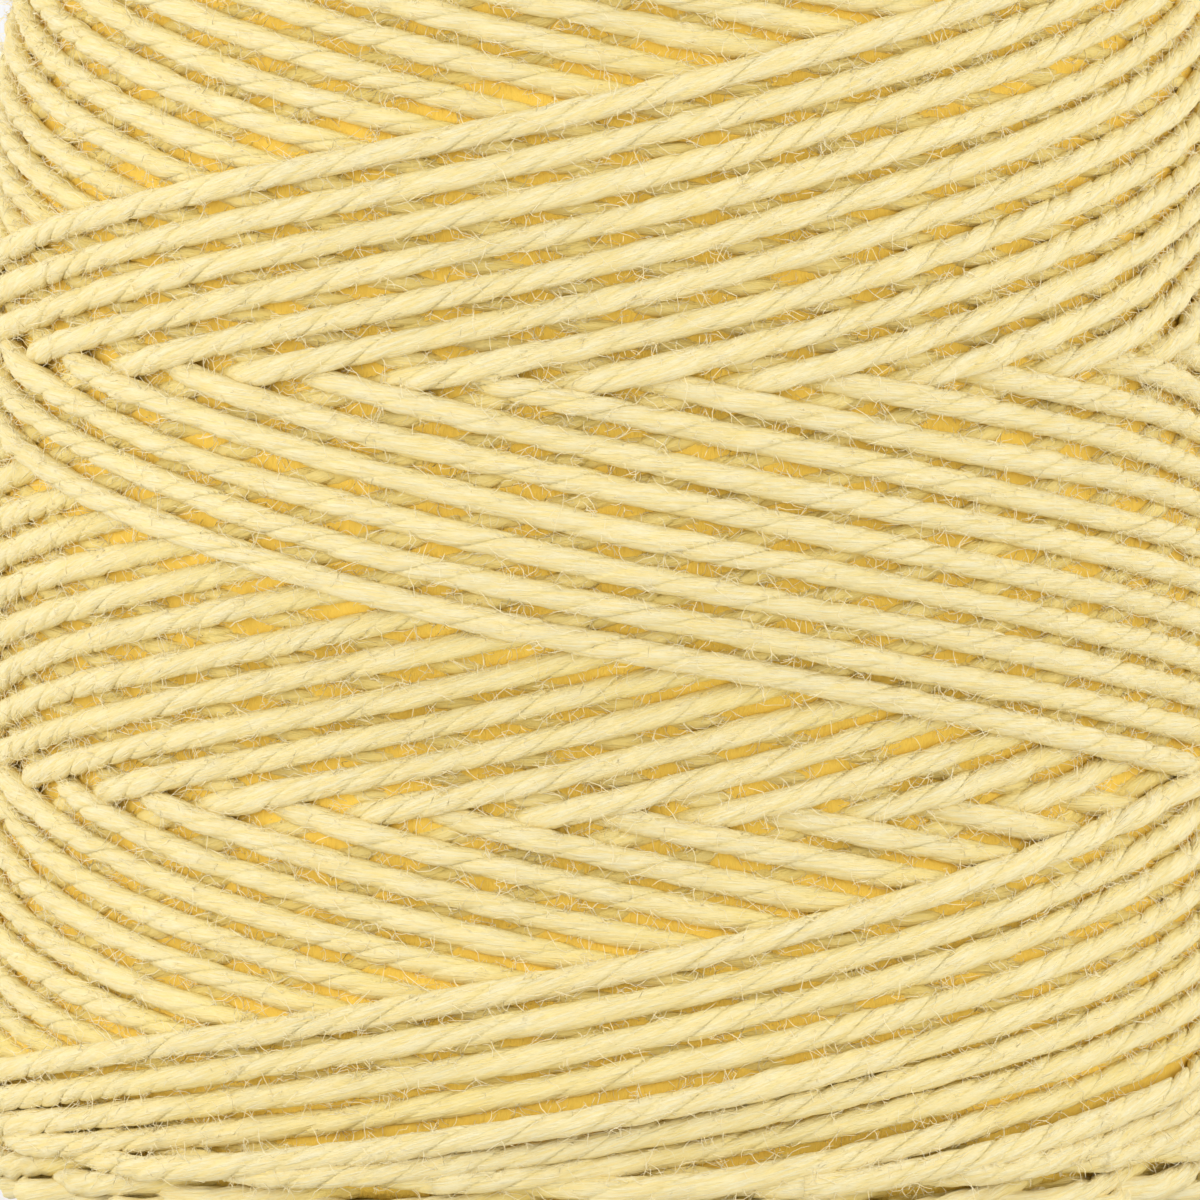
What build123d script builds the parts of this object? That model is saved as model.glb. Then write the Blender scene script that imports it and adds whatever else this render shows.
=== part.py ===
"""Waxed thread spool: plied thread cross-wound on a spiral paperboard tube.

Millimetres, +Z up.  The origin is the centre of the tube's lower end, so the
spool stands on the XY plane with its winding axis along Z.  The package is a
little narrower at the top than at the base.

The tube is rolled from several plies.  The thread wound over it is divided
into closed rings of equal thickness: a ring's outer wall is the next ring's
inner wall.
"""

import os
from math import cos, radians, sin

from build123d import *

# Thread
thread_diameter = 1.0
lay_angle = 12.3  # slope of the thread's helix on the outer layer, in degrees

# Winding
winding_height = 57.2
winding_layers = 6
layer_thickness = 1.8  # at mid height
winding_taper = 2.5  # outer layer's radius at its lower end less that at its upper end
winding_bulge = 0.2  # how far the outer layer's middle stands out past a straight taper
shoulder_radius = 1.4  # rounding of the outer layer's two rims
shoulder_share = 0.9  # of the layer's thickness, the most that the rounding may take

# Tube, from the bore outwards
bore_radius = 8.4
liner_thickness = 0.3
board_thickness = 0.5
board_plies = 2
facing_thickness = 0.3
tube_overhang = 3.8  # bare tube past each end of the winding

# Slit in the upper rim that holds the thread's first end
slit_angle = -50.0  # about Z from +X, in degrees
slit_depth = 2.4
slit_clearance = 0.2  # total, across the thread

# First end of the thread, from under the winding into the slit
start_tail_gap = 0.15  # to the tube's wall and to the slit's floor
start_tail_bend = 1.0  # centreline radius, in thread diameters
start_tail_setback = 0.2  # its cut end stops this far short of the bore

# Last end of the thread, tucked under the final wraps at the back
finish_tail_angle = 70.0  # its middle, about Z from +X, in degrees
finish_tail_rise = 34.8  # its middle above the winding's lower end
finish_tail_span = 60.0  # degrees of arc round the spool
finish_tail_proud = 0.15  # how far it stands out of the outer layer

thread_radius = thread_diameter / 2
tube_radius = bore_radius + liner_thickness + board_plies * board_thickness + facing_thickness
tube_length = winding_height + 2 * tube_overhang
winding_bottom = tube_overhang
winding_middle = winding_bottom + winding_height / 2
winding_top = winding_bottom + winding_height

os.makedirs("parts", exist_ok=True)


def finish(piece, name):
    """Label a finished piece and write it to the STEP file of the same name."""
    piece.part.label = name
    export_step(piece.part, f"parts/{name}.step")


def outwards(angle):
    """Level direction away from the axis, at an angle about Z from +X."""
    return Vector(cos(radians(angle)), sin(radians(angle)), 0)


def sideways(angle):
    """Level direction round the axis, anticlockwise from above, at the same place."""
    return outwards(angle + 90)


# ---- Tube: liner, board plies and facing, one inside the other ----

# Upright plane across the slit, through the middle of the upper rim
slit_plane = Plane(
    origin=(0, 0, tube_length), x_dir=sideways(slit_angle), z_dir=outwards(slit_angle)
)

plies = [("tube_liner", liner_thickness)]
plies += [(f"tube_board_{number + 1}", board_thickness) for number in range(board_plies)]
plies += [("tube_facing", facing_thickness)]

inner_radius = bore_radius
for name, thickness in plies:
    with BuildPart() as ply:
        with BuildSketch():
            Circle(inner_radius + thickness)
            Circle(inner_radius, mode=Mode.SUBTRACT)
        extrude(amount=tube_length)
        # A slot centred on the rim leaves a notch with a round floor.
        with BuildSketch(slit_plane):
            SlotOverall(2 * slit_depth, thread_diameter + slit_clearance, rotation=90)
        extrude(amount=tube_radius + thread_diameter, mode=Mode.SUBTRACT)
    finish(ply, name)
    inner_radius += thickness


# ---- First end of the thread: up the tube's wall and in through the slit ----

start_tail_radius = tube_radius + start_tail_gap + thread_radius
start_tail_height = tube_length - slit_depth + start_tail_gap + thread_radius

# Local X points out through the slit and local Y points up
start_tail_plane = Plane(
    origin=(0, 0, 0), x_dir=outwards(slit_angle), z_dir=-sideways(slit_angle)
)

with BuildPart() as start_tail:
    with BuildLine(start_tail_plane) as route:
        FilletPolyline(
            (start_tail_radius, winding_top),
            (start_tail_radius, start_tail_height),
            (bore_radius + start_tail_setback, start_tail_height),
            radius=start_tail_bend * thread_diameter,
        )
    with BuildSketch(Plane(origin=route.line @ 0, z_dir=route.line % 0)):
        Circle(thread_radius)
    sweep(path=route.line)
finish(start_tail, "start_tail")


# ---- Winding ----


def wall_radius(number, height):
    """Radius of a layer's outer wall: straight on the tube, then fuller layer by layer."""
    along = (height - winding_middle) / (winding_height / 2)  # -1 at the bottom, 1 at the top
    growth = number / winding_layers
    middle = tube_radius + number * layer_thickness
    return middle - growth * (along * winding_taper / 2 + along**2 * winding_bulge)


def wall_line(number):
    """Meridian of a layer's outer wall, from bottom to top."""
    bottom, middle, top = (
        (wall_radius(number, height), height)
        for height in (winding_bottom, winding_middle, winding_top)
    )
    if number == 0:
        return Line(bottom, top)
    return ThreePointArc(bottom, middle, top)


# Last end of the thread: a piece of the final wrap, coming down round the back
finish_tail_height = winding_bottom + finish_tail_rise
finish_tail_wall = wall_radius(winding_layers, finish_tail_height)
finish_tail_radius = finish_tail_wall + finish_tail_proud - thread_radius

# Local X points out through the tail's middle, and local Y falls at the lay angle
finish_tail_plane = Plane(
    origin=(0, 0, finish_tail_height),
    x_dir=outwards(finish_tail_angle),
    z_dir=Vector(0, 0, cos(radians(lay_angle)))
    + sideways(finish_tail_angle) * sin(radians(lay_angle)),
)

with BuildPart() as finish_tail:
    with BuildLine(finish_tail_plane) as wrap:
        CenterArc((0, 0), finish_tail_radius, -finish_tail_span / 2, finish_tail_span)
    with BuildSketch(Plane(origin=wrap.line @ 0, z_dir=wrap.line % 0)):
        Circle(thread_radius)
    sweep(path=wrap.line)
finish(finish_tail, "finish_tail")

thinnest_end = min(
    wall_radius(winding_layers, height) - wall_radius(winding_layers - 1, height)
    for height in (winding_bottom, winding_top)
)

for number in range(1, winding_layers + 1):
    with BuildPart() as layer:
        with BuildSketch(Plane.XZ):
            with BuildLine():
                inner_wall = wall_line(number - 1)
                outer_wall = wall_line(number)
                Line(inner_wall @ 0, outer_wall @ 0)
                Line(inner_wall @ 1, outer_wall @ 1)
            make_face()
        revolve(axis=Axis.Z)
        if number == winding_layers:
            rims = [end.outer_wire().edge() for end in layer.faces().filter_by(Axis.Z)]
            fillet(rims, min(shoulder_radius, shoulder_share * thinnest_end))
            add(finish_tail.part, mode=Mode.SUBTRACT)
    finish(layer, f"winding_layer_{number}")
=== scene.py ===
"""Looks of the waxed thread spool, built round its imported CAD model.

The winding is made as the real one is.  One thread is rested, stroke after stroke, on the height
of what is already wound, from the tube outwards, and what can be seen of it becomes twisted,
three-ply thread.  Everything is in metres and radians.  Angles round the spool start at the
front, at -Y, and run anticlockwise seen from above, as the thread does.
"""

from math import atan, cos, pi, radians, sin, tau

import bpy
import numpy as np
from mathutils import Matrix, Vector


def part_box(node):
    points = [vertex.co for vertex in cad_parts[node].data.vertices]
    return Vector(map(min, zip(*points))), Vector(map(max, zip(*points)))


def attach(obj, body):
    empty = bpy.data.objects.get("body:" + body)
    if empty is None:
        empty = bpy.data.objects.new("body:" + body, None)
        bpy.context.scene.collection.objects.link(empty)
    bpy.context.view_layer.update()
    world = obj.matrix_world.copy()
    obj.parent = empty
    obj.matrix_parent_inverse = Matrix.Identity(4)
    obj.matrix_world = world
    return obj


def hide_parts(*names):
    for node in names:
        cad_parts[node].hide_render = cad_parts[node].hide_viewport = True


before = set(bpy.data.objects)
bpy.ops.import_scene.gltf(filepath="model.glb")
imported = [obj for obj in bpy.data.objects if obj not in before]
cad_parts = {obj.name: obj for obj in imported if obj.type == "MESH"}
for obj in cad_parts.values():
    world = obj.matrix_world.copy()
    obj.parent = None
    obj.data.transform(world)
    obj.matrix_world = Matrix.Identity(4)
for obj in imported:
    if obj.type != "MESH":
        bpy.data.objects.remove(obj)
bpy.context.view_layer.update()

MM = 0.001
rng = np.random.default_rng(12)

# ---- Places taken from the frame ----

winding_low, winding_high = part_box("winding_layer_6")
_, tube_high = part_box("tube_facing")
_, start_tail_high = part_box("start_tail")
winding_bottom = winding_low.z
winding_top = winding_high.z
tube_radius = tube_high.x
start_tail_top = start_tail_high.z
tube_length = tube_high.z

# Thread
thread_radius = 0.45 * MM
plies = 3
lay_length = 4.2 * MM
ply_groove = 0.2  # depth of the groove between plies, as a share of the radius
ply_roundness = 5.0  # higher is flatter plies with narrower grooves
ply_corners = (-1.0, -0.82, -0.32, 0.32, 0.82)  # of a ply's outline, from groove to groove
pressed_height = 0.84  # the thread's height on the package over its width
end_pile = 0.4 * MM  # how far into the winding its end faces reach
fibre_lean = 0.25  # how much of the plies' turn the fibres on the outside take
cad_thread_radius = 0.5 * MM
tail_bend = 1 * MM  # radius of the first end's bend into the slit
tail_covered = 2 * MM  # of the first end, under the winding

# Winding
strokes_turn = 4 * pi  # two turns from end to end, less half a neighbour's step
neighbours_round = 22.5  # parallel threads side by side round the package
climb = 28.735 * MM / tau  # rise for each radian
neighbour_turn = tau / neighbours_round
stroke_turn = strokes_turn - neighbour_turn / 2
stroke_height = stroke_turn * climb
turn_slack = 2.06 * MM  # how far the last turns at an end stop short of a sharp corner
turn_slack_reach = 5.2 * MM  # how far from the end that eases off
turn_slack_share = 0.15  # of it in the oldest turns, which reach nearer to the ends
turn_slack_strokes = 28  # double strokes over which the turns drew back
turn_rounding = 0.3 * MM  # the same for the turn's own small rounding
turn_rounding_reach = 0.5 * MM
coverages = 8.5
double_strokes = int(coverages * neighbours_round)
last_up_start = 4.344  # where round the package the last upward stroke begins
finish_turn = 5.395  # how far the unfinished last stroke turns before the thread is tucked in
tuck_length = 9 * MM  # over which the last end is tucked in
tuck_depth = 0.85 * MM
tuck_shift = 0.9 * MM  # towards its neighbour, which is above it
wander = 0.045 * MM  # how far a wrap strays up and down
wander_eases = 3 * MM  # from the ends of a stroke, where it doesn't
settled_height = 0.62  # height that one thread adds where it crosses another, over its width

# ---- Camera: low, far off, and aimed at the lower part of the winding ----

camera_elevation = radians(5.3)
camera_distance = 0.89
camera_width = 40 * MM  # of the view, where it is aimed
camera_aim = Vector((-0.37 * MM, 0, winding_bottom + 19.47 * MM))

camera_data = bpy.data.cameras.new("camera")
camera = bpy.data.objects.new("camera", camera_data)
bpy.context.scene.collection.objects.link(camera)
bpy.context.scene.camera = camera
camera_data.lens = camera_data.sensor_width * camera_distance / camera_width
camera_data.clip_start = 0.01
camera_data.clip_end = 20
to_camera = Vector((0, -cos(camera_elevation), sin(camera_elevation)))
camera.location = camera_aim + camera_distance * to_camera
camera.rotation_euler = to_camera.to_track_quat("Z", "Y").to_euler()


# ---- Winding: the centreline of the whole thread ----


def outer_wall(heights):
    """Radius of the CAD winding's outer wall at each height, met by a ray towards the axis."""
    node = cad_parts["winding_layer_6"]
    start = 2 * winding_high.x
    radii = []
    for height in heights:
        _, place, _, _ = node.ray_cast(Vector((-start, 0, height)), Vector((1, 0, 0)))
        radii.append(-place.x)
    return np.array(radii)


shoulder = 3.2 * MM  # rounding of the package's two rims
rim_reach = 0.5 * MM  # the rounding runs on this far past the winding's ends
wall_heights = np.linspace(winding_bottom + shoulder, winding_top - shoulder, 25)
wall_radii = outer_wall(wall_heights)


def envelope(height):
    """Radius that the package reaches at a height, with its rounded rims."""
    radius = np.interp(height, wall_heights, wall_radii)
    slope = np.gradient(wall_radii, wall_heights)
    radius += np.minimum(height - wall_heights[0], 0) * slope[0]
    radius += np.maximum(height - wall_heights[-1], 0) * slope[-1]
    edge = np.minimum(height - winding_bottom, winding_top - height) + rim_reach
    inside = np.clip(1 - edge / shoulder, 0, 1)
    return radius - shoulder * (1 - np.sqrt(1 - inside**2))


point_gap = 0.1 * MM  # between points of the centreline
point_turn = point_gap / wall_radii.mean()
stroke_points = round(stroke_turn / point_turn)
point_turn = stroke_turn / stroke_points
thread_points = (2 * double_strokes + 1) * stroke_points + round(finish_turn / point_turn) + 1

turned = np.arange(thread_points) * point_turn
angle = turned - 2 * double_strokes * stroke_turn + last_up_start


def slow_waves(count, shortest, longest):
    """Smooth noise along the thread, of about unit size, from sines of random lengths."""
    total = np.zeros(thread_points)
    for _ in range(count):
        length = rng.uniform(shortest, longest)
        total += np.sin(turned * wall_radii.mean() * tau / length + rng.uniform(0, tau))
    return total * np.sqrt(2 / count)


def turn_lift(gone, corner):
    """How far the thread is kept off a numbered sharp corner, at a distance gone from it."""
    age = double_strokes - corner / 2
    share = turn_slack_share + (1 - turn_slack_share) * np.exp(-((age / turn_slack_strokes) ** 2))
    slack = turn_slack * share * corner_change[corner]
    return slack * np.exp(-gone / turn_slack_reach) + turn_rounding * np.exp(
        -gone / turn_rounding_reach
    )


stroke = np.minimum(np.arange(thread_points) // stroke_points, 2 * double_strokes + 1)
since = (turned - stroke * stroke_turn) * climb
until = stroke_height - since
corner_change = rng.uniform(0.9, 1.1, 2 * double_strokes + 3)
rise = since + turn_lift(since, stroke) - turn_lift(until, stroke + 1)
height = winding_bottom + np.where(stroke % 2 == 0, rise, stroke_height - rise)
free = np.clip(np.minimum(since, until) / wander_eases, 0, 1)
height += free * wander * slow_waves(9, 8 * MM, 90 * MM)

# What is built up is kept over rows of height and columns of angle.
cell = 0.1 * MM
margin = 1.5 * MM
columns = 1320
rows = round((winding_top - winding_bottom + 2 * margin) / cell)
built = np.zeros((rows, columns))
across = np.arange(-5, 6) / 5 * 0.98
roundness = settled_height * thread_radius * np.sqrt(1 - across**2)
lay_slope = atan(climb / wall_radii.mean())


def bell(spread):
    """Weights of a running average, over three times its spread each way, in points."""
    weights = np.exp(-0.5 * (np.arange(-3 * spread, 3 * spread + 1) / spread) ** 2)
    return weights / weights.sum()


tension = bell(5)  # how stiffly the taut thread spans hollows
lift = np.zeros(thread_points)  # of the thread's centre, above the tube's wall


def lay_stroke(number):
    """Rest one stroke on what is built up, and build it up in turn."""
    points = slice(number * stroke_points, min((number + 1) * stroke_points, thread_points))
    uphill = 1 if number % 2 == 0 else -1
    near = built[
        np.clip(((height[points] - winding_bottom + margin) / cell).astype(int), 0, rows - 1),
        (angle[points] / tau * columns).astype(int) % columns,
    ].mean()
    radius = tube_radius + near
    beside = across[:, None] * thread_radius
    row = (height[points] + beside * cos(lay_slope) - winding_bottom + margin) / cell
    column = (angle[points] - uphill * beside * sin(lay_slope) / radius) / tau * columns
    row = np.clip(np.rint(row).astype(int), 0, rows - 1)
    column = np.rint(column).astype(int) % columns
    resting = (built[row, column] + roundness[:, None]).max(axis=0)
    reach = len(tension) // 2
    resting = np.convolve(np.pad(resting, reach, mode="edge"), tension, mode="valid")
    lift[points] = resting
    for strip in np.argsort(roundness):
        here = (row[strip], column[strip])
        built[here] = np.maximum(built[here], resting + roundness[strip])


for number in range(2 * double_strokes + 2):
    lay_stroke(number)


def smoothed(grid, reach, times):
    """What is built up, averaged over so many cells each way, and joined up round the package."""
    for _ in range(times):
        wide = np.pad(grid, reach, mode="edge")
        wide[:, :reach] = wide[:, -2 * reach : -reach]
        wide[:, -reach:] = wide[:, reach : 2 * reach]
        total = wide.cumsum(axis=0)
        wide = (total[2 * reach :] - total[: -2 * reach]) / (2 * reach)
        total = wide.cumsum(axis=1)
        grid = (total[:, 2 * reach :] - total[:, : -2 * reach]) / (2 * reach)
    return grid


# The winding is brought to the package's outline: the outer threads keep their depths below it,
# and the inner ones take up what is left, which evens out the pile at the two ends.
loose_depth = 2.6 * MM  # to which threads keep their depths
full_share = 0.88  # of a row's cells, those that lie under the outline
outline_rise = 0.22 * MM  # of the topmost threads, above the outline
row_heights = winding_bottom - margin + (np.arange(rows) + 0.5) * cell
surface = smoothed(built, 9, 3)
surface_here = surface[
    np.clip(((height - winding_bottom + margin) / cell).astype(int), 0, rows - 1),
    (angle / tau * columns).astype(int) % columns,
]
row_full = np.quantile(built, full_share, axis=1)
row_full = np.convolve(np.pad(row_full, 7, mode="edge"), np.ones(15) / 15, mode="valid")
full = np.maximum(np.interp(height, row_heights, row_full), loose_depth + 1 * MM)
depth = full - lift - outline_rise
share_inside = np.clip((depth - loose_depth) / (full - loose_depth), 0, 1)
wall = envelope(height)
radius = wall - np.minimum(depth, loose_depth)
radius -= share_inside * (wall - loose_depth - tube_radius)
even = bell(3)
radius = np.convolve(np.pad(radius, len(even) // 2, mode="edge"), even, mode="valid")

# The last end is tucked in under its neighbour.
tuck = np.clip(1 - (turned[-1] - turned) * wall_radii.mean() / tuck_length, 0, 1)
tuck = tuck * tuck * (3 - 2 * tuck)
radius -= tuck_depth * tuck
height += tuck_shift * tuck


# ---- Meshes ----


def new_mesh_object(name, points, faces, material):
    """An object in the row frame from corner points and faces given as a list of index arrays.

    Four-sided faces are smooth, and the others, which are the caps of ends, are flat.
    """
    mesh = bpy.data.meshes.new(name)
    sizes = np.concatenate([np.full(len(f), f.shape[1]) for f in faces])
    corners = np.concatenate([f.ravel() for f in faces])
    mesh.vertices.add(len(points))
    mesh.vertices.foreach_set("co", points.astype(np.float32).ravel())
    mesh.loops.add(len(corners))
    mesh.loops.foreach_set("vertex_index", corners.astype(np.int32))
    mesh.polygons.add(len(sizes))
    starts = np.concatenate([[0], np.cumsum(sizes)[:-1]])
    mesh.polygons.foreach_set("loop_start", starts.astype(np.int32))
    mesh.polygons.foreach_set("use_smooth", sizes == 4)
    mesh.materials.append(material)
    mesh.update(calc_edges=True)
    made = bpy.data.objects.new(name, mesh)
    bpy.context.scene.collection.objects.link(made)
    return made


def unit(vectors):
    """The vectors at length one."""
    return vectors / np.linalg.norm(vectors, axis=-1, keepdims=True)


def add_vectors(made, name, values):
    """Give an object's points a vector each, for its material to read."""
    attribute = made.data.attributes.new(name, "FLOAT_VECTOR", "POINT")
    attribute.data.foreach_set("vector", values.astype(np.float32).ravel())


def add_numbers(made, name, values):
    """Give an object's points a number each, for its material to read."""
    attribute = made.data.attributes.new(name, "FLOAT", "POINT")
    attribute.data.foreach_set("value", values.astype(np.float32).ravel())


def add_bake_map(made, rings, sides):
    """A UV map for textures that lays the quads of a thread out in rows, ring after ring."""
    row_count = max(1, round((rings * 0.07) ** 0.5))
    in_row = -(-rings // row_count)
    ring, side = np.divmod(np.arange((rings - 1) * sides), sides)
    row, place = np.divmod(ring, in_row)
    u = (place[:, None] + [0, 0, 1, 1]) / in_row
    v = (row[:, None] + 0.04 + 0.92 * (side[:, None] + [0, 1, 1, 0]) / sides) / row_count
    uv = np.zeros((len(made.data.loops), 2))
    uv[: u.size, 0] = u.ravel()
    uv[: u.size, 1] = v.ravel()
    layer = made.data.uv_layers.new(name="OFBake")
    layer.data.foreach_set("uv", uv.astype(np.float32).ravel())


def ring_faces(rings, sides, first=0):
    """Quads between rings of points, and a flat cap at each end."""
    ring, side = np.divmod(np.arange((rings - 1) * sides), sides)
    low = first + ring * sides
    beyond = (side + 1) % sides
    quads = np.stack([low + side, low + beyond, low + sides + beyond, low + sides + side], axis=1)
    end = np.arange(sides)
    caps = np.stack([first + end[::-1], first + (rings - 1) * sides + end])
    return quads, caps


def thread_rings(run, sides):
    """Rings of points of plied thread at points of its centreline, and each point's facts.

    The facts are its place in the thread, for fibre streaks, how near it is to a groove between
    plies, and how far under the package's surface it is.
    """
    if sides == plies * len(ply_corners):
        from_crown = np.tile(np.abs(ply_corners), plies)
        corner = np.tile(ply_corners, plies) + np.repeat(np.arange(plies) * 2 + 1, len(ply_corners))
        corner = corner * pi / plies
    else:
        corner = tau * np.arange(sides) / sides
        from_crown = abs(corner % (tau / plies) - pi / plies) / (pi / plies)
    ply = np.arange(sides) * plies // sides
    groove = ply_groove * seam_depth[:, ply][run]
    outline = (1 - groove * from_crown**ply_roundness) * ply_swell[:, ply][run]
    turn = corner + twist_turn[run, None]
    reach = thread_radius * thread_swell[run, None] * outline
    raised = reach * np.cos(turn) * pressed_height
    points = (
        centreline[run, None]
        + raised[..., None] * up[run, None]
        + (reach * np.sin(turn))[..., None] * side[run, None]
    )
    # Fibres run almost straight along the thread, with a little of the plies' turn
    lean = turn - fibre_lean * twist_turn[run, None]
    along_thread = (wound[run] - wound[run[0]] + wound[run[0]] % 0.1) / MM
    along_thread = np.broadcast_to(along_thread[:, None], turn.shape)
    place = np.stack([np.cos(lean), np.sin(lean), along_thread], axis=-1)
    # The material paints shade by the last two facts, the groove and the depth
    return points, place, np.broadcast_to(from_crown, turn.shape), buried[run, None] - raised


def thread_piece(name, runs, sides):
    """One piece made of runs of the wound thread, each given as indices into its centreline."""
    facts, quads, caps, first = [], [], [], 0
    for run in runs:
        facts.append([fact.reshape(len(run) * sides, -1) for fact in thread_rings(run, sides)])
        run_quads, run_caps = ring_faces(len(run), sides, first)
        quads.append(run_quads)
        caps.append(run_caps)
        first += len(run) * sides
    points, place, groove, depth = (np.concatenate(fact) for fact in zip(*facts))
    piece = new_mesh_object(name, points, [np.concatenate(quads), np.concatenate(caps)], thread)
    add_vectors(piece, "fibre_place", place)
    add_numbers(piece, "groove", groove)
    add_numbers(piece, "depth", depth / MM)
    if len(runs) == 1:
        add_bake_map(piece, len(runs[0]), sides)
    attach(piece, "root")
    return piece


# ---- Materials ----


class Nodes:
    """A short way to lay out a material's nodes."""

    def __init__(self, name):
        self.material = bpy.data.materials.new(name)
        self.material.use_nodes = True
        self.tree = self.material.node_tree
        self.shader = self.tree.nodes["Principled BSDF"]

    def add(self, kind, inputs=None, **settings):
        """A node, with its settings, and its inputs set or linked by name or number."""
        node = self.tree.nodes.new(kind)
        for name, value in settings.items():
            setattr(node, name, value)
        for name, value in (inputs or {}).items():
            self.put(value, node.inputs[name])
        return node

    def put(self, value, socket):
        """Set a socket to a value, or link it from another node's socket."""
        if isinstance(value, bpy.types.NodeSocket):
            self.tree.links.new(value, socket)
        else:
            socket.default_value = value

    def mix(self, share, a, b):
        """Colour a mixed with colour b."""
        node = self.add("ShaderNodeMix", data_type="RGBA")
        for place, value in ((0, share), (6, a), (7, b)):
            self.put(value, node.inputs[place])
        return node.outputs[2]

    def math(self, operation, a, b=0.0):
        """The result of a math node."""
        return self.add("ShaderNodeMath", {0: a, 1: b}, operation=operation).outputs[0]

    def spread(self, value, low, high):
        """A value stretched so that low is 0 and high is 1."""
        node = self.add("ShaderNodeMapRange", {"Value": value, "From Min": low, "From Max": high})
        return node.outputs[0]

    def noise(self, vector, scale, detail=2.0, roughness=0.5):
        """A noise texture's value."""
        inputs = {"Vector": vector, "Scale": scale, "Detail": detail, "Roughness": roughness}
        return self.add("ShaderNodeTexNoise", inputs).outputs[0]


def make_thread():
    """Matte waxed cotton: streaks of fibre along the thread, and painted shade, a fuller colour low
    and in grooves.
    """
    nodes = Nodes("thread")
    place = nodes.add("ShaderNodeAttribute", attribute_name="fibre_place").outputs["Vector"]
    groove = nodes.add("ShaderNodeAttribute", attribute_name="groove").outputs["Fac"]
    depth = nodes.add("ShaderNodeAttribute", attribute_name="depth").outputs["Fac"]
    drawn = nodes.add("ShaderNodeVectorMath", {0: place, 1: (1, 1, 0.16)}, operation="MULTIPLY")
    fine = nodes.noise(drawn.outputs[0], 5.5, 4.0, 0.7)
    broad = nodes.noise(drawn.outputs[0], 2.5, 2.0)
    pale, warm = (0.98, 0.88, 0.55, 1), (0.97, 0.79, 0.35, 1)
    # Colours of painted shade and bounced light, for thread low in the winding and in its grooves
    painted_shade_colour, painted_deep_shade_colour = (1.0, 0.8, 0.25, 1), (1.0, 0.7, 0.12, 1)
    colour = nodes.mix(nodes.spread(fine, 0.39, 0.61), warm, pale)
    # Painted shade: the colour grows fuller and darker with depth under the package's surface
    low = nodes.math("MULTIPLY", nodes.spread(depth, -0.3, 0.3), 0.85)
    # Painted shade in the grooves between plies
    painted_groove_shade = nodes.math("MULTIPLY", nodes.spread(groove, 0.55, 1.0), 0.25)
    colour = nodes.mix(nodes.math("MAXIMUM", low, painted_groove_shade), colour, painted_shade_colour)
    # Painted shade, deepest: a deep gold further under the surface
    colour = nodes.mix(nodes.spread(depth, 0.25, 0.95), colour, painted_deep_shade_colour)
    nodes.put(colour, nodes.shader.inputs["Base Color"])
    relief = nodes.math("ADD", fine, nodes.math("MULTIPLY", broad, 0.6))
    bump = nodes.add("ShaderNodeBump", {"Strength": 1.0, "Distance": 0.11 * MM, "Height": relief})
    nodes.put(bump.outputs[0], nodes.shader.inputs["Normal"])
    nodes.put(0.72, nodes.shader.inputs["Roughness"])
    nodes.put(0.12, nodes.shader.inputs["Specular IOR Level"])
    return nodes.material


def make_plain(name, colour, roughness):
    """One matte colour."""
    nodes = Nodes(name)
    nodes.put(colour, nodes.shader.inputs["Base Color"])
    nodes.put(roughness, nodes.shader.inputs["Roughness"])
    nodes.put(0.1, nodes.shader.inputs["Specular IOR Level"])
    return nodes.material


thread = make_thread()
fibre = make_plain("loose_fibre", (1.0, 0.89, 0.58, 1), 0.6)
backdrop = make_plain("backdrop", (0.8, 0.8, 0.81, 1), 0.9)

# ---- Wound thread ----

outwards = np.stack([np.sin(angle), -np.cos(angle), np.zeros(thread_points)], axis=1)
centreline = radius[:, None] * outwards
centreline[:, 2] = height
along = unit(np.gradient(centreline, axis=0))
up = unit(outwards - (outwards * along).sum(axis=1, keepdims=True) * along)
side = np.cross(along, up)
wound = turned * wall_radii.mean()

# The thread's first points are its free end instead, which runs up the tube and into the slit.
# Its places come from the CAD tail's own corners.
tail_points = np.array([corner.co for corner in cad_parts["start_tail"].data.vertices])
tail_out = unit(tail_points.mean(axis=0) * [1, 1, 0])
tail_radius = (tail_points @ tail_out).max() - cad_thread_radius
tail_height = start_tail_top - cad_thread_radius
tail_inside = (tail_points @ tail_out).min()
tail_bottom = winding_top - tail_covered
rising = tail_height - tail_bend - tail_bottom
bending = tail_bend * pi / 2
free_length = rising + bending + tail_radius - tail_bend - tail_inside
free_points = round(free_length / point_gap)
gone = np.linspace(0, free_length, free_points)
bent = np.clip((gone - rising) / tail_bend, 0, pi / 2)
level = np.maximum(gone - rising - bending, 0)
tail_reach = tail_radius - tail_bend * (1 - np.cos(bent)) - level
tail_rise = np.minimum(gone, rising) + tail_bend * np.sin(bent) + tail_bottom
centreline[:free_points] = tail_reach[:, None] * tail_out + tail_rise[:, None] * [0, 0, 1]
along[:free_points] = np.sin(bent)[:, None] * -tail_out + np.cos(bent)[:, None] * [0, 0, 1]
up[:free_points] = np.cos(bent)[:, None] * tail_out + np.sin(bent)[:, None] * [0, 0, 1]
side[:free_points] = np.cross(along[:free_points], up[:free_points])

# The twist, the thread's width, its plies' widths and its seams all vary a little along it.
twist_turn = -wound * tau / lay_length + slow_waves(5, 15 * MM, 60 * MM)
thread_swell = 1 + 0.03 * slow_waves(9, 6 * MM, 60 * MM)
ply_swell = 1 + 0.035 * np.stack([slow_waves(6, 2 * MM, 12 * MM) for _ in range(plies)], axis=1)
seam_depth = np.stack([slow_waves(6, 3 * MM, 14 * MM) for _ in range(plies)], axis=1)
seam_depth = np.clip(0.8 + 0.45 * seam_depth, 0.15, 1.6)

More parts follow.
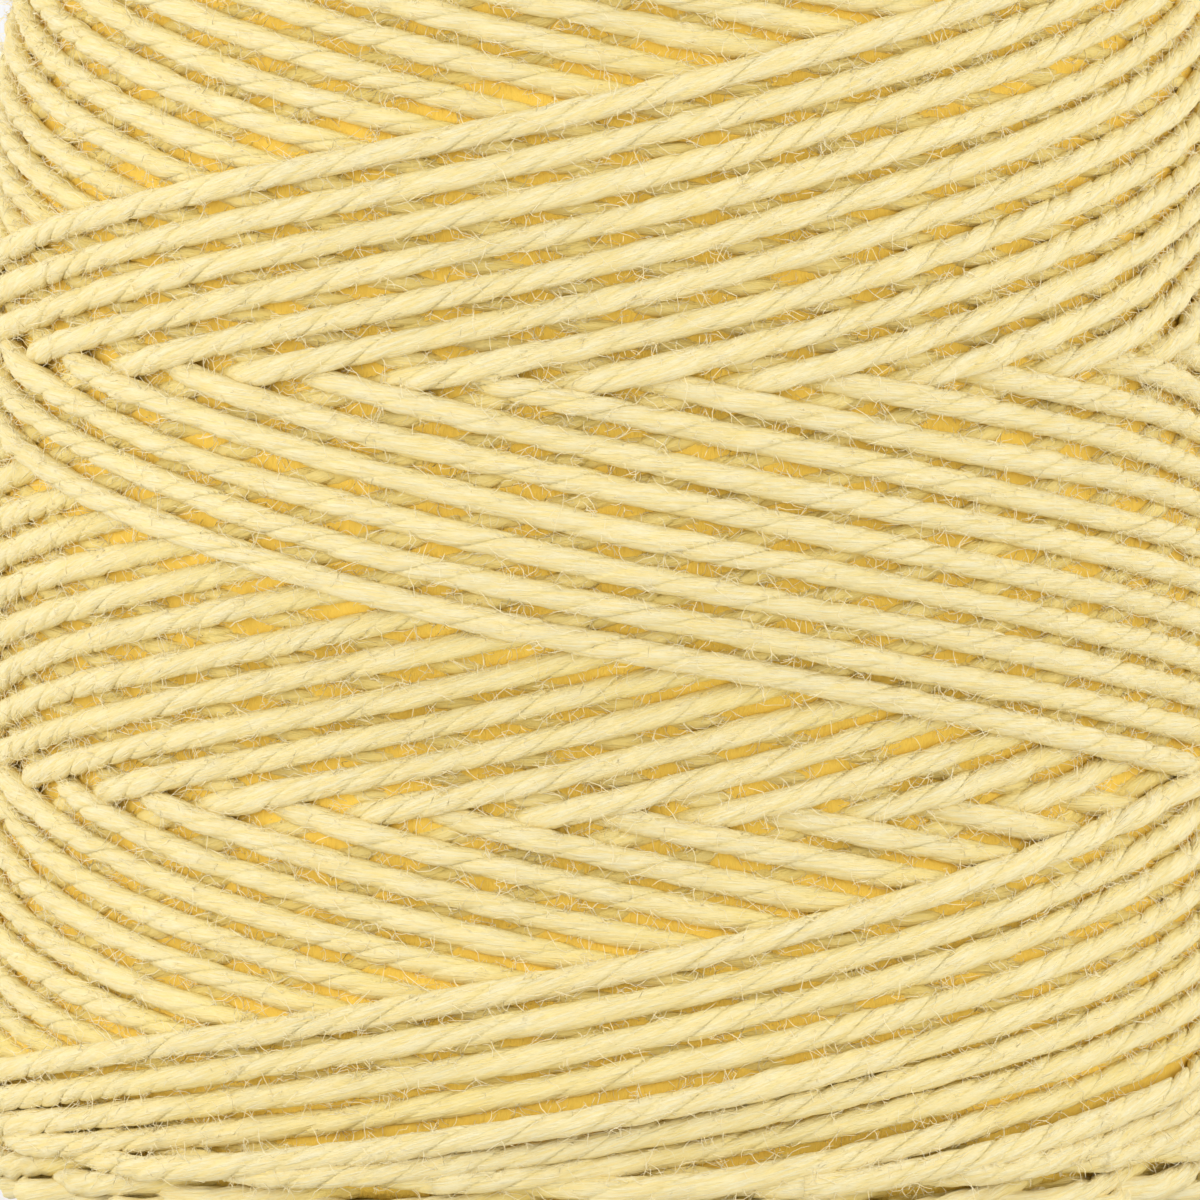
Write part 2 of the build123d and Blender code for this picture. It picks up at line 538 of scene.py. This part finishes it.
# Depth under the package's surface, which for the turns at the ends is its end face; the thread's
# material paints shade by it.
from_end = np.minimum(height - winding_bottom, winding_top - height)
buried = np.minimum(surface_here - lift, from_end - end_pile)
buried[:free_points] = 0


def back_from_end(strokes):
    """Index of the centreline's point that many strokes before the unfinished last one."""
    return (2 * double_strokes + 1 - strokes) * stroke_points


tail_turn = 1.05  # how far round the package the last end's own piece goes
tail_start = thread_points - round(tail_turn / point_turn)
strokes_shown = round(2 * neighbours_round)
newest = back_from_end(strokes_shown)
older = back_from_end(2 * strokes_shown)

# The newest wraps, in pieces that meet ring to ring
strokes_a_piece = 4
starts = list(range(newest, tail_start, strokes_a_piece * stroke_points)) + [tail_start]
for number, (start, end) in enumerate(zip(starts, starts[1:])):
    piece = thread_piece(f"thread_{number + 1}", [np.append(np.arange(start, end, 3), end)], 15)
    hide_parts("winding_layer_6")

# Those under them, which show in the gaps
starts = np.linspace(older, newest, 4).astype(int) // 4 * 4
for number, (start, end) in enumerate(zip(starts, starts[1:])):
    piece = thread_piece(f"thread_under_{number + 1}", [np.append(np.arange(start, end, 4), end)], 9)
    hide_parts("winding_layer_5")

# Of the rest, only the turns near the two ends, which show on the end faces
end_depth = 2.6 * MM
for name, near_end in (
    ("lower", height < winding_bottom + end_depth),
    ("upper", height > winding_top - end_depth),
):
    points = np.arange(stroke_points, older, 5)
    points = points[near_end[points]]
    runs = np.split(points, np.flatnonzero(np.diff(points) > 5) + 1)
    piece = thread_piece(f"thread_{name}_end", runs, 9)
    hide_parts("winding_layer_1", "winding_layer_2", "winding_layer_3", "winding_layer_4")

tail = thread_piece("finish_end", [np.arange(tail_start, thread_points, 3)], 15)
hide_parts("finish_tail")
tail = thread_piece("start_end", [np.arange(0, free_points, 2)], 15)
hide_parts("start_tail")

core_inset = 1.6 * MM  # of the hidden thread's ends, from the winding's ends
core_depth = 0.18 * MM  # of the hidden thread, under the surface
core_step = 4  # cells between its points


def make_core():
    """The thread under what is shown, as one closed ring that follows the package's surface."""
    sides = columns // core_step
    inset = round((margin + core_inset) / cell)
    chosen = np.arange(inset, rows - inset, core_step)
    levels = row_heights[chosen]
    # Where newer wraps lie on the package its surface is higher, and the core follows it
    hollow = (row_full[:, None] - surface)[chosen][:, ::core_step]
    reach = envelope(levels)[:, None] - core_depth - np.clip(hollow, -0.3 * MM, 1.2 * MM)
    tube = np.full((1, sides), tube_radius)
    reach = np.concatenate([tube, tube, reach])
    levels = np.concatenate([levels[-1:], levels[:1], levels])
    turn = tau * (np.arange(sides) * core_step + 0.5) / columns
    points = np.stack(
        [reach * np.sin(turn), -reach * np.cos(turn), np.broadcast_to(levels[:, None], reach.shape)],
        axis=-1,
    ).reshape(-1, 3)
    quads, _ = ring_faces(len(levels) + 1, sides)
    piece = new_mesh_object("winding_core", points, [quads % len(points)], thread)
    add_vectors(piece, "fibre_place", points / MM)
    add_numbers(piece, "groove", np.full(len(points), 0.5))
    # A depth of 3 mm gives the core the thread's deepest painted shade
    add_numbers(piece, "depth", np.full(len(points), 3.0))
    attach(piece, "root")
    return piece


make_core()

# ---- Fuzz ----


def fibre_points(root, direction, length, bends, wildness):
    """Points along loose fibres that start at their roots and wander as they go."""
    points = [root]
    for _ in range(bends):
        direction = unit(direction + wildness * rng.normal(size=root.shape))
        points.append(points[-1] + direction * (length / bends)[:, None])
    return np.stack(points, axis=1)


def fibre_piece(name, points, thickness):
    """Thin three-sided fibres that taper a little."""
    count, steps, _ = points.shape
    ahead = unit(np.gradient(points, axis=1))
    helper = np.where(abs(ahead[..., 2:]) < 0.8, [0.0, 0.0, 1.0], [1.0, 0.0, 0.0])
    across_one = unit(np.cross(ahead, helper))
    across_two = np.cross(ahead, across_one)
    turn = tau * np.arange(3) / 3
    taper = thickness / 2 * np.linspace(1, 0.55, steps)[None, :, None, None]
    rings = points[:, :, None] + taper * (
        np.cos(turn)[:, None] * across_one[:, :, None]
        + np.sin(turn)[:, None] * across_two[:, :, None]
    )
    quads, caps = ring_faces(steps, 3)
    shift = (np.arange(count) * steps * 3)[:, None, None]
    quads = (quads + shift).reshape(-1, 4)
    caps = (caps + shift).reshape(-1, 3)
    piece = new_mesh_object(name, rings.reshape(-1, 3), [quads, caps], fibre)
    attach(piece, "root")
    return piece


fuzz_pieces = 12
piece_fibres = 9000
first_end_fibres = 60  # of each piece's
fibre_thickness = 0.031 * MM
for number in range(fuzz_pieces):
    at = rng.integers(newest, thread_points, piece_fibres)
    at[:first_end_fibres] = rng.integers(0, free_points, first_end_fibres)
    # They root mostly low on the thread's two sides, and set off along it and a little outwards
    around = (rng.choice([-1, 1], piece_fibres) * rng.normal(1.1, 0.45, piece_fibres))[:, None]
    normal = np.cos(around) * up[at] + np.sin(around) * side[at]
    root = centreline[at] + 0.9 * thread_radius * normal
    way = rng.choice([-1, 1], piece_fibres)[:, None]
    direction = unit(way * along[at] + rng.uniform(0.1, 1.2, (piece_fibres, 1)) * normal)
    length = MM * np.clip(rng.lognormal(-0.5, 0.4, piece_fibres), 0.3, 1.6)
    points = fibre_points(root, direction, length, 3, 0.55)
    fibre_piece(f"fuzz_{number + 1}", points, fibre_thickness)

# ---- Tube ----


def make_paper(name, pale, dark, seam_pitch, seam_start):
    """Paper rolled on in a spiral: long fibres, a soft mottle and the line where its turns meet."""
    nodes = Nodes(name)
    place = nodes.add("ShaderNodeTexCoord").outputs["Object"]
    in_mm = nodes.add("ShaderNodeVectorMath", {0: place, 1: (1000, 1000, 1000)}, operation="MULTIPLY")
    drawn = nodes.add(
        "ShaderNodeVectorMath", {0: in_mm.outputs[0], 1: (1, 1, 0.25)}, operation="MULTIPLY"
    )
    fibres = nodes.noise(drawn.outputs[0], 6.0, 5.0, 0.7)
    mottle = nodes.noise(in_mm.outputs[0], 0.35, 3.0, 0.6)
    colour = nodes.mix(nodes.spread(fibres, 0.32, 0.68), dark, pale)
    colour = nodes.mix(nodes.math("MULTIPLY", nodes.spread(mottle, 0.35, 0.65), 0.3), colour, dark)
    axes = nodes.add("ShaderNodeSeparateXYZ", {0: in_mm.outputs[0]}).outputs
    round_tube = nodes.math("DIVIDE", nodes.math("ARCTAN2", axes[1], axes[0]), tau)
    risen = nodes.math("DIVIDE", axes[2], seam_pitch)
    strip = nodes.math("FRACT", nodes.math("ADD", nodes.math("ADD", round_tube, risen), seam_start))
    seam = nodes.math("LESS_THAN", strip, 0.012)
    colour = nodes.mix(nodes.math("MULTIPLY", seam, 0.6), colour, [0.4 * part for part in dark])
    nodes.put(colour, nodes.shader.inputs["Base Color"])
    relief = nodes.math("SUBTRACT", fibres, seam)
    bump = nodes.add("ShaderNodeBump", {"Strength": 0.7, "Distance": 0.05 * MM, "Height": relief})
    nodes.put(bump.outputs[0], nodes.shader.inputs["Normal"])
    nodes.put(0.85, nodes.shader.inputs["Roughness"])
    nodes.put(0.2, nodes.shader.inputs["Specular IOR Level"])
    return nodes.material


def make_board():
    """Grey-brown board: pulp in thin layers, with a few pale and dark flecks."""
    nodes = Nodes("tube_board")
    place = nodes.add("ShaderNodeTexCoord").outputs["Object"]
    in_mm = nodes.add("ShaderNodeVectorMath", {0: place, 1: (1000, 1000, 1000)}, operation="MULTIPLY")
    pulp = nodes.noise(in_mm.outputs[0], 4.0, 5.0, 0.7)
    flecks = nodes.noise(in_mm.outputs[0], 9.0, 1.0)
    dark, pale = (0.27, 0.19, 0.115, 1), (0.5, 0.38, 0.25, 1)
    colour = nodes.mix(nodes.spread(pulp, 0.33, 0.67), dark, pale)
    colour = nodes.mix(nodes.spread(flecks, 0.68, 0.74), colour, (0.7, 0.62, 0.5, 1))
    nodes.put(colour, nodes.shader.inputs["Base Color"])
    bump = nodes.add("ShaderNodeBump", {"Strength": 1.0, "Distance": 0.08 * MM, "Height": pulp})
    nodes.put(bump.outputs[0], nodes.shader.inputs["Normal"])
    nodes.put(0.9, nodes.shader.inputs["Roughness"])
    nodes.put(0.2, nodes.shader.inputs["Specular IOR Level"])
    return nodes.material


tube_board = make_board()
kraft, kraft_dark = (0.62, 0.45, 0.27, 1), (0.47, 0.32, 0.18, 1)
grey, grey_dark = (0.55, 0.47, 0.36, 1), (0.4, 0.33, 0.24, 1)
tube_materials = {
    "tube_liner": make_paper("liner_paper", grey, grey_dark, 42.0, 0.35),
    "tube_board_1": tube_board,
    "tube_board_2": tube_board,
    "tube_facing": make_paper("facing_paper", kraft, kraft_dark, 38.0, 0.1),
}
for name, material in tube_materials.items():
    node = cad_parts[name]
    node.data.materials.clear()
    node.data.materials.append(material)

# ---- Floor and light ----

floor_half = 3.0
points = np.array([(-1, -1, 0), (1, -1, 0), (1, 1, 0), (-1, 1, 0)]) * floor_half
floor = new_mesh_object("floor", points, [np.array([[0, 1, 2, 3]])], backdrop)

world = bpy.data.worlds.new("world")
bpy.context.scene.world = world
world.use_nodes = True
world.node_tree.nodes["Background"].inputs["Color"].default_value = (1, 1, 1, 1)
world.node_tree.nodes["Background"].inputs["Strength"].default_value = 1.16


def area_light(name, place, size, watts, colour):
    """A square soft light that faces the winding."""
    data = bpy.data.lights.new(name, "AREA")
    data.size = size
    data.energy = watts
    data.color = colour
    light = bpy.data.objects.new(name, data)
    bpy.context.scene.collection.objects.link(light)
    light.location = place
    away = Vector(place) - Vector((0, 0, tube_length / 2))
    light.rotation_euler = away.to_track_quat("Z", "Y").to_euler()


area_light("key", (-0.4, -0.25, 0.12), 0.3, 0.5, (1, 0.97, 0.92))
area_light("fill", (0.42, -0.12, 0.1), 0.3, 0.4, (0.98, 0.98, 1))

bpy.context.scene.view_settings.view_transform = "Standard"
